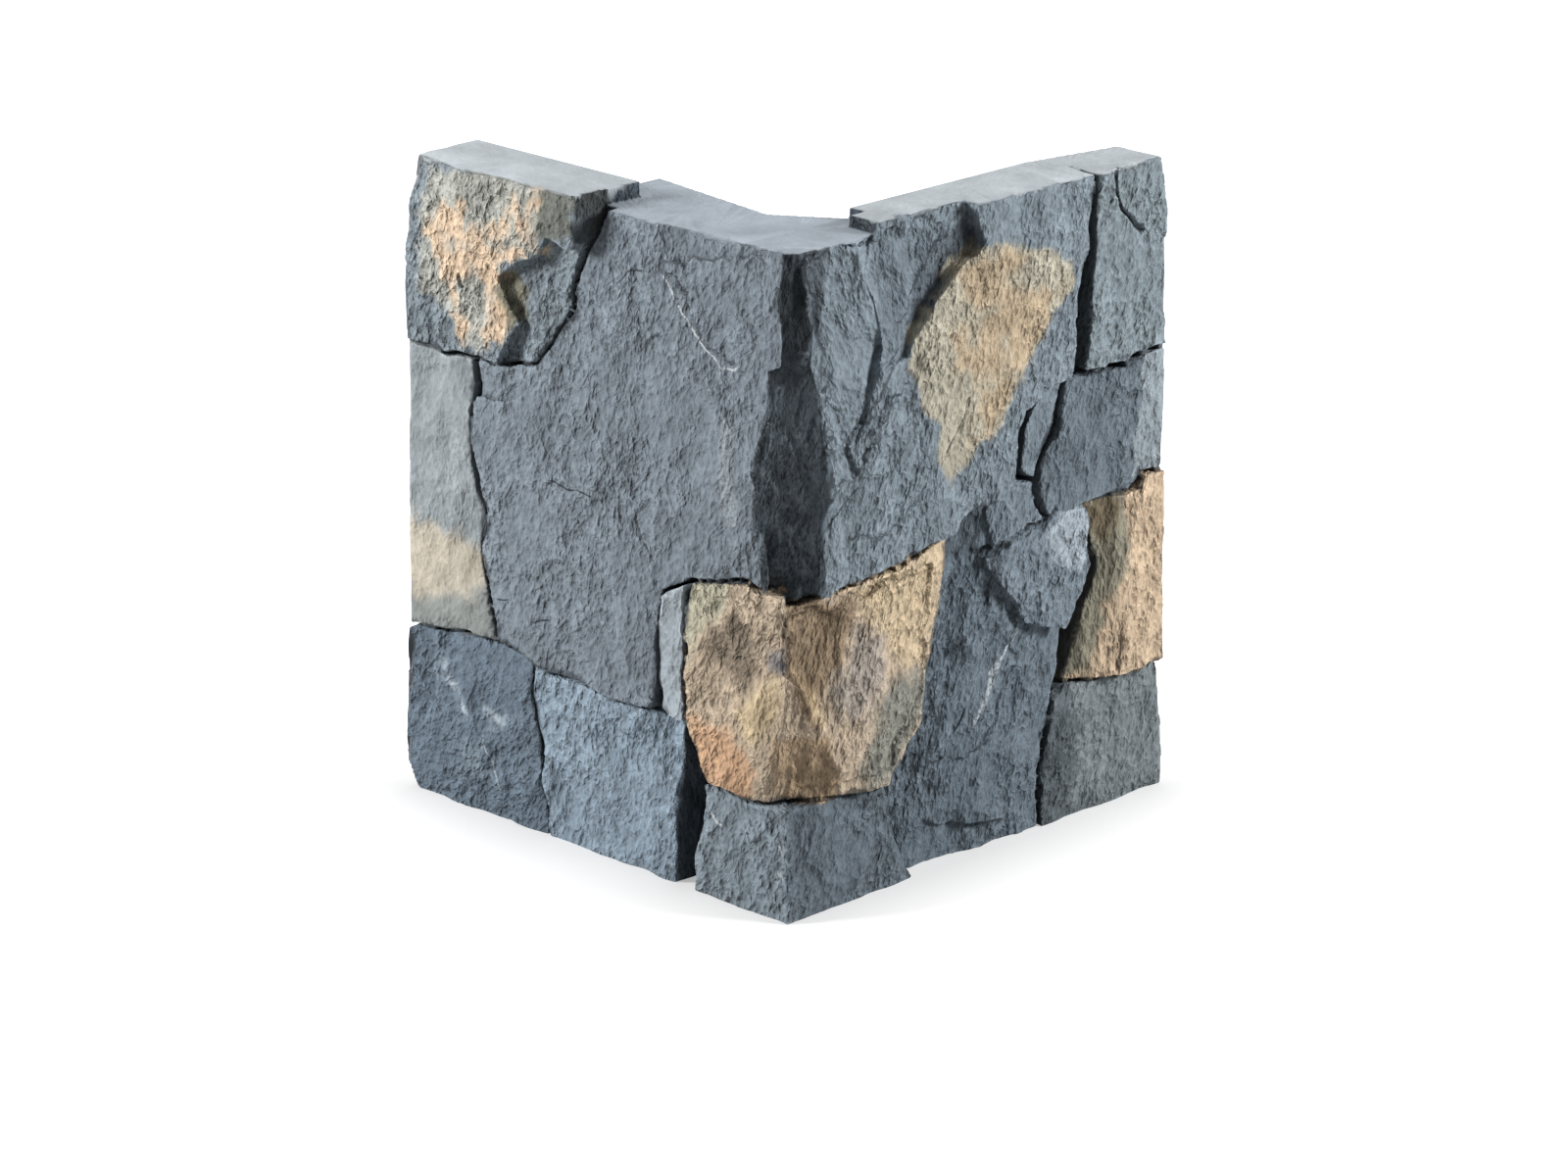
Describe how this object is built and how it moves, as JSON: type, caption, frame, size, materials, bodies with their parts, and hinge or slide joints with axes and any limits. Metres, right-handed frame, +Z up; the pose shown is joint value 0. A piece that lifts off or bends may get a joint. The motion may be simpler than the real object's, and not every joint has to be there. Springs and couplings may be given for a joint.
{
  "type": "stone veneer corner",
  "caption": "Cast concrete veneer corner, L-shaped in plan, with moulded dry-stacked stone faces, for facing the outside corner of a wall.",
  "frame": {"origin": "middle of the bounding box, at its bottom, on the floor that the panel stands on", "axes": "+Z up; the right leg runs along +X with its stones facing -Y, and the left leg runs along +Y with its stones facing -X"},
  "size_m": [0.337, 0.337, 0.41],
  "materials": {
    "cast_stone": "cleft, matte, with stained patches"
  },
  "bodies": {
    "root": {"corner_panel": "cast_stone"}
  },
  "joints": []
}
